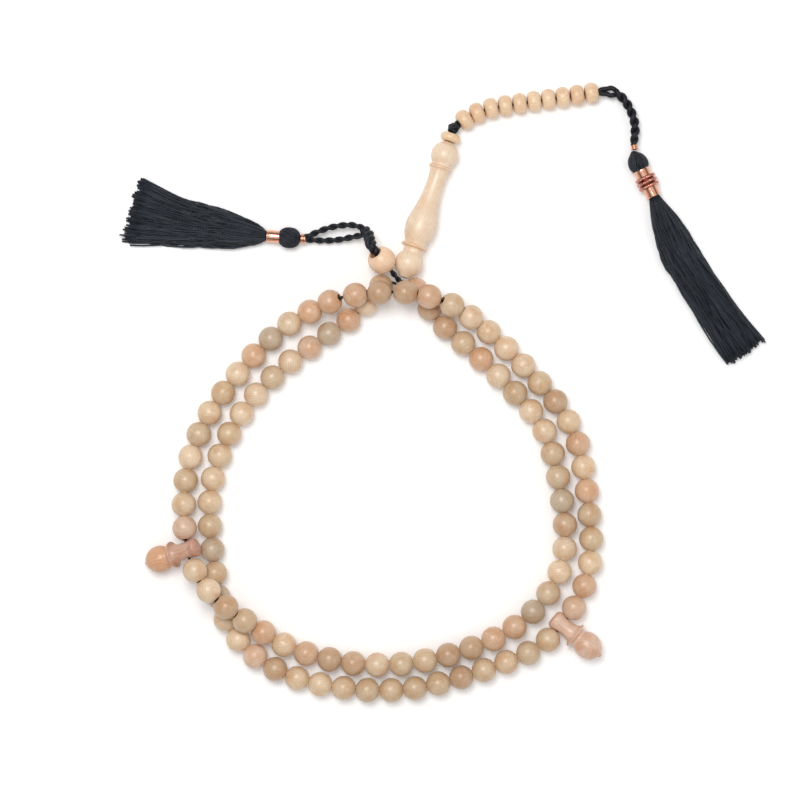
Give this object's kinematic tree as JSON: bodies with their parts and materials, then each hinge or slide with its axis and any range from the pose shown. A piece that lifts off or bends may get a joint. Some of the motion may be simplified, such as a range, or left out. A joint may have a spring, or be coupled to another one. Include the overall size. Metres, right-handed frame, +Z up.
{
  "type": "misbaha prayer beads",
  "caption": "Strand of round wooden prayer beads in three thirds, with dividers, a long turned imam bead, counters and two thread tassels.",
  "frame": {"origin": "middle of the bottom of the whole strand's box, on the surface it lies on", "axes": "+Z up from the surface, +Y from the near side of the loop towards the imam, +X to the right"},
  "size_m": [0.2081, 0.2016, 0.0159],
  "materials": {
    "bead_wood": "satin, fine straight grain, each bead its own tint",
    "cream_wood": "satin, pale fine grain",
    "red_wood": "satin, reddish, growth rings on the end grain",
    "core_wood": "plain turned",
    "black_cord": "twisted satin cord",
    "black_thread": "fine satin thread",
    "rose_gold_metal": "polished rose gold plate"
  },
  "bodies": {
    "strand": {"main_cord": "black_cord", "joining_knot": "black_cord", "stopper_cord": "black_cord", "first_third_beads": "bead_wood", "second_third_beads": "bead_wood", "third_third_beads": "bead_wood"},
    "leader": {"leader_cord": "black_cord", "crown_knot": "black_cord"},
    "counter_string": {"tail_cord": "black_cord", "tail_braid": "black_cord", "tail_ring": "rose_gold_metal"},
    "long_tassel": {"long_tassel_head": "black_thread", "long_tassel_core": "core_wood", "long_tassel_ferrule": "rose_gold_metal", "long_tassel_bands": "rose_gold_metal", "long_tassel_skirt": "black_thread"},
    "loop": {"loop_neck": "black_cord", "loop_knot": "black_cord", "loop_cord": "black_cord", "loop_ring": "rose_gold_metal"},
    "short_tassel": {"short_tassel_head": "black_thread", "short_tassel_core": "core_wood", "short_tassel_ferrule": "rose_gold_metal", "short_tassel_skirt": "black_thread"},
    "divider_left": {"divider_left": "red_wood"},
    "divider_right": {"divider_right": "red_wood"},
    "imam": {"imam": "cream_wood"},
    "disc_bead": {"disc_bead": "cream_wood"},
    "stopper_bead": {"stopper_bead": "cream_wood"},
    "counter_bead_01": {"counter_bead_01": "cream_wood"},
    "counter_bead_02": {"counter_bead_02": "cream_wood"},
    "counter_bead_03": {"counter_bead_03": "cream_wood"},
    "counter_bead_04": {"counter_bead_04": "cream_wood"},
    "counter_bead_05": {"counter_bead_05": "cream_wood"},
    "counter_bead_06": {"counter_bead_06": "cream_wood"},
    "counter_bead_07": {"counter_bead_07": "cream_wood"},
    "counter_bead_08": {"counter_bead_08": "cream_wood"},
    "counter_bead_09": {"counter_bead_09": "cream_wood"},
    "counter_bead_10": {"counter_bead_10": "cream_wood"},
    "first_third_bead_04": {"first_third_bead_04": "bead_wood"},
    "first_third_bead_08": {"first_third_bead_08": "bead_wood"},
    "first_third_bead_12": {"first_third_bead_12": "bead_wood"},
    "first_third_bead_16": {"first_third_bead_16": "bead_wood"},
    "first_third_bead_20": {"first_third_bead_20": "bead_wood"},
    "first_third_bead_23": {"first_third_bead_23": "bead_wood"},
    "first_third_bead_26": {"first_third_bead_26": "bead_wood"},
    "second_third_bead_04": {"second_third_bead_04": "bead_wood"},
    "second_third_bead_08": {"second_third_bead_08": "bead_wood"},
    "second_third_bead_11": {"second_third_bead_11": "bead_wood"},
    "second_third_bead_21": {"second_third_bead_21": "bead_wood"},
    "second_third_bead_24": {"second_third_bead_24": "bead_wood"},
    "second_third_bead_27": {"second_third_bead_27": "bead_wood"},
    "second_third_bead_30": {"second_third_bead_30": "bead_wood"},
    "third_third_bead_03": {"third_third_bead_03": "bead_wood"},
    "third_third_bead_06": {"third_third_bead_06": "bead_wood"},
    "third_third_bead_09": {"third_third_bead_09": "bead_wood"},
    "third_third_bead_12": {"third_third_bead_12": "bead_wood"},
    "third_third_bead_21": {"third_third_bead_21": "bead_wood"},
    "third_third_bead_25": {"third_third_bead_25": "bead_wood"},
    "third_third_bead_29": {"third_third_bead_29": "bead_wood"}
  },
  "joints": [
    {"name": "imam_swing", "type": "hinge", "parent": "strand", "child": "leader", "pos_m": [-0.0118, 0.042, 0.00538], "axis": [0, 0, 1], "range_deg": [-8, 4]},
    {"name": "counter_string_swing", "type": "hinge", "parent": "leader", "child": "counter_string", "pos_m": [0.00288, 0.0861, 0.00427], "axis": [0, 0, 1], "range_deg": [-8, 20]},
    {"name": "long_tassel_swing", "type": "hinge", "parent": "counter_string", "child": "long_tassel", "pos_m": [0.0626, 0.0751, 0.0035], "axis": [0, 0, 1], "range_deg": [-20, 25]},
    {"name": "divider_left_swivel", "type": "hinge", "parent": "strand", "child": "divider_left", "pos_m": [-0.0833, -0.05083, 0.00842], "axis": [-0.2241, 0.9412, -0.2527], "range_deg": [0, 80]},
    {"name": "divider_right_swivel", "type": "hinge", "parent": "strand", "child": "divider_right", "pos_m": [0.03819, -0.0755, 0.004], "axis": [-0.6318, -0.7751, 0], "range_deg": [0, 80]},
    {"name": "loop_swing", "type": "hinge", "parent": "strand", "child": "loop", "pos_m": [-0.0205, 0.0427, 0.0088], "axis": [0, 0, 1], "range_deg": [-8, 8]},
    {"name": "short_tassel_swing", "type": "hinge", "parent": "loop", "child": "short_tassel", "pos_m": [-0.0506, 0.0504, 0.0034], "axis": [0, 0, 1], "range_deg": [-35, 35]},
    {"name": "spin_imam", "type": "hinge", "parent": "leader", "child": "imam", "pos_m": [-0.00703, 0.05632, 0.00502], "axis": [0.3158, 0.9485, -0.024], "continuous": true},
    {"name": "spin_disc_bead", "type": "hinge", "parent": "leader", "child": "disc_bead", "pos_m": [0.00178, 0.08278, 0.00435], "axis": [0.3158, 0.9485, -0.024], "continuous": true},
    {"name": "spin_stopper_bead", "type": "hinge", "parent": "strand", "child": "stopper_bead", "pos_m": [-0.0205, 0.0427, 0.0088], "axis": [-0.5503, 0.5803, 0.6003], "continuous": true},
    {"name": "spin_counter_bead_01", "type": "hinge", "parent": "counter_string", "child": "counter_bead_01", "pos_m": [0.00638, 0.08865, 0.00369], "axis": [0.8117, 0.5764, -0.0941], "continuous": true},
    {"name": "spin_counter_bead_02", "type": "hinge", "parent": "counter_string", "child": "counter_bead_02", "pos_m": [0.01054, 0.09086, 0.0035], "axis": [0.9231, 0.3846, 0], "continuous": true},
    {"name": "spin_counter_bead_03", "type": "hinge", "parent": "counter_string", "child": "counter_bead_03", "pos_m": [0.015, 0.0924, 0.0035], "axis": [0.9701, 0.2428, 0], "continuous": true},
    {"name": "spin_counter_bead_04", "type": "hinge", "parent": "counter_string", "child": "counter_bead_04", "pos_m": [0.01964, 0.09327, 0.0035], "axis": [0.9864, 0.1645, 0], "continuous": true},
    {"name": "spin_counter_bead_05", "type": "hinge", "parent": "counter_string", "child": "counter_bead_05", "pos_m": [0.0243, 0.094, 0.0035], "axis": [0.9894, 0.1454, 0], "continuous": true},
    {"name": "spin_counter_bead_06", "type": "hinge", "parent": "counter_string", "child": "counter_bead_06", "pos_m": [0.02898, 0.09468, 0.0035], "axis": [0.9901, 0.1407, 0], "continuous": true},
    {"name": "spin_counter_bead_07", "type": "hinge", "parent": "counter_string", "child": "counter_bead_07", "pos_m": [0.03365, 0.09533, 0.0035], "axis": [0.9907, 0.1364, 0], "continuous": true},
    {"name": "spin_counter_bead_08", "type": "hinge", "parent": "counter_string", "child": "counter_bead_08", "pos_m": [0.03833, 0.09598, 0.0035], "axis": [0.99, 0.1412, 0], "continuous": true},
    {"name": "spin_counter_bead_09", "type": "hinge", "parent": "counter_string", "child": "counter_bead_09", "pos_m": [0.04299, 0.09667, 0.0035], "axis": [0.9885, 0.1514, 0], "continuous": true},
    {"name": "spin_counter_bead_10", "type": "hinge", "parent": "counter_string", "child": "counter_bead_10", "pos_m": [0.04766, 0.09739, 0.0035], "axis": [0.988, 0.1541, 0], "continuous": true},
    {"name": "spin_first_third_bead_04", "type": "hinge", "parent": "strand", "child": "first_third_bead_04", "pos_m": [0.00588, 0.01606, 0.004], "axis": [0.7703, -0.6377, 0], "continuous": true},
    {"name": "spin_first_third_bead_08", "type": "hinge", "parent": "strand", "child": "first_third_bead_08", "pos_m": [0.02799, -0.00601, 0.004], "axis": [0.639, -0.7692, 0], "continuous": true},
    {"name": "spin_first_third_bead_12", "type": "hinge", "parent": "strand", "child": "first_third_bead_12", "pos_m": [0.03809, -0.03513, 0.004], "axis": [0.1413, -0.99, 0], "continuous": true},
    {"name": "spin_first_third_bead_16", "type": "hinge", "parent": "strand", "child": "first_third_bead_16", "pos_m": [0.03363, -0.06523, 0.004], "axis": [-0.5566, -0.8308, 0], "continuous": true},
    {"name": "spin_first_third_bead_20", "type": "hinge", "parent": "strand", "child": "first_third_bead_20", "pos_m": [0.00858, -0.08297, 0.004], "axis": [-0.9435, -0.3315, 0], "continuous": true},
    {"name": "spin_first_third_bead_23", "type": "hinge", "parent": "strand", "child": "first_third_bead_23", "pos_m": [-0.01422, -0.08822, 0.004], "axis": [-0.9964, -0.0848, 0], "continuous": true},
    {"name": "spin_first_third_bead_26", "type": "hinge", "parent": "strand", "child": "first_third_bead_26", "pos_m": [-0.03753, -0.08667, 0.004], "axis": [-0.9783, 0.2072, 0], "continuous": true},
    {"name": "spin_second_third_bead_04", "type": "hinge", "parent": "strand", "child": "second_third_bead_04", "pos_m": [-0.0827, -0.02088, 0.004], "axis": [0.2832, 0.959, 0], "continuous": true},
    {"name": "spin_second_third_bead_08", "type": "hinge", "parent": "strand", "child": "second_third_bead_08", "pos_m": [-0.0673, 0.00609, 0.004], "axis": [0.6352, 0.7724, 0], "continuous": true},
    {"name": "spin_second_third_bead_11", "type": "hinge", "parent": "strand", "child": "second_third_bead_11", "pos_m": [-0.05047, 0.02231, 0.00433], "axis": [0.8272, 0.5539, 0.0946], "continuous": true},
    {"name": "spin_second_third_bead_21", "type": "hinge", "parent": "strand", "child": "second_third_bead_21", "pos_m": [0.01998, 0.01435, 0.004], "axis": [0.7192, -0.6948, -0.0003], "continuous": true},
    {"name": "spin_second_third_bead_24", "type": "hinge", "parent": "strand", "child": "second_third_bead_24", "pos_m": [0.0359, -0.00286, 0.004], "axis": [0.6208, -0.784, 0], "continuous": true},
    {"name": "spin_second_third_bead_27", "type": "hinge", "parent": "strand", "child": "second_third_bead_27", "pos_m": [0.04501, -0.02418, 0.004], "axis": [0.1797, -0.9837, 0], "continuous": true},
    {"name": "spin_second_third_bead_30", "type": "hinge", "parent": "strand", "child": "second_third_bead_30", "pos_m": [0.04754, -0.04749, 0.004], "axis": [0.0472, -0.9989, 0], "continuous": true},
    {"name": "spin_third_third_bead_03", "type": "hinge", "parent": "strand", "child": "third_third_bead_03", "pos_m": [0.01994, -0.08758, 0.004], "axis": [-0.937, -0.3493, 0], "continuous": true},
    {"name": "spin_third_third_bead_06", "type": "hinge", "parent": "strand", "child": "third_third_bead_06", "pos_m": [-0.00218, -0.09459, 0.004], "axis": [-0.9709, -0.2394, 0], "continuous": true},
    {"name": "spin_third_third_bead_09", "type": "hinge", "parent": "strand", "child": "third_third_bead_09", "pos_m": [-0.02522, -0.09669, 0.004], "axis": [-0.999, 0.0455, 0], "continuous": true},
    {"name": "spin_third_third_bead_12", "type": "hinge", "parent": "strand", "child": "third_third_bead_12", "pos_m": [-0.04804, -0.09281, 0.004], "axis": [-0.9527, 0.3039, 0], "continuous": true},
    {"name": "spin_third_third_bead_21", "type": "hinge", "parent": "strand", "child": "third_third_bead_21", "pos_m": [-0.0764, -0.03556, 0.004], "axis": [0.0445, 0.999, 0], "continuous": true},
    {"name": "spin_third_third_bead_25", "type": "hinge", "parent": "strand", "child": "third_third_bead_25", "pos_m": [-0.06604, -0.00682, 0.004], "axis": [0.5625, 0.8268, 0], "continuous": true},
    {"name": "spin_third_third_bead_29", "type": "hinge", "parent": "strand", "child": "third_third_bead_29", "pos_m": [-0.04397, 0.01462, 0.004], "axis": [0.818, 0.5753, 0], "continuous": true}
  ]
}
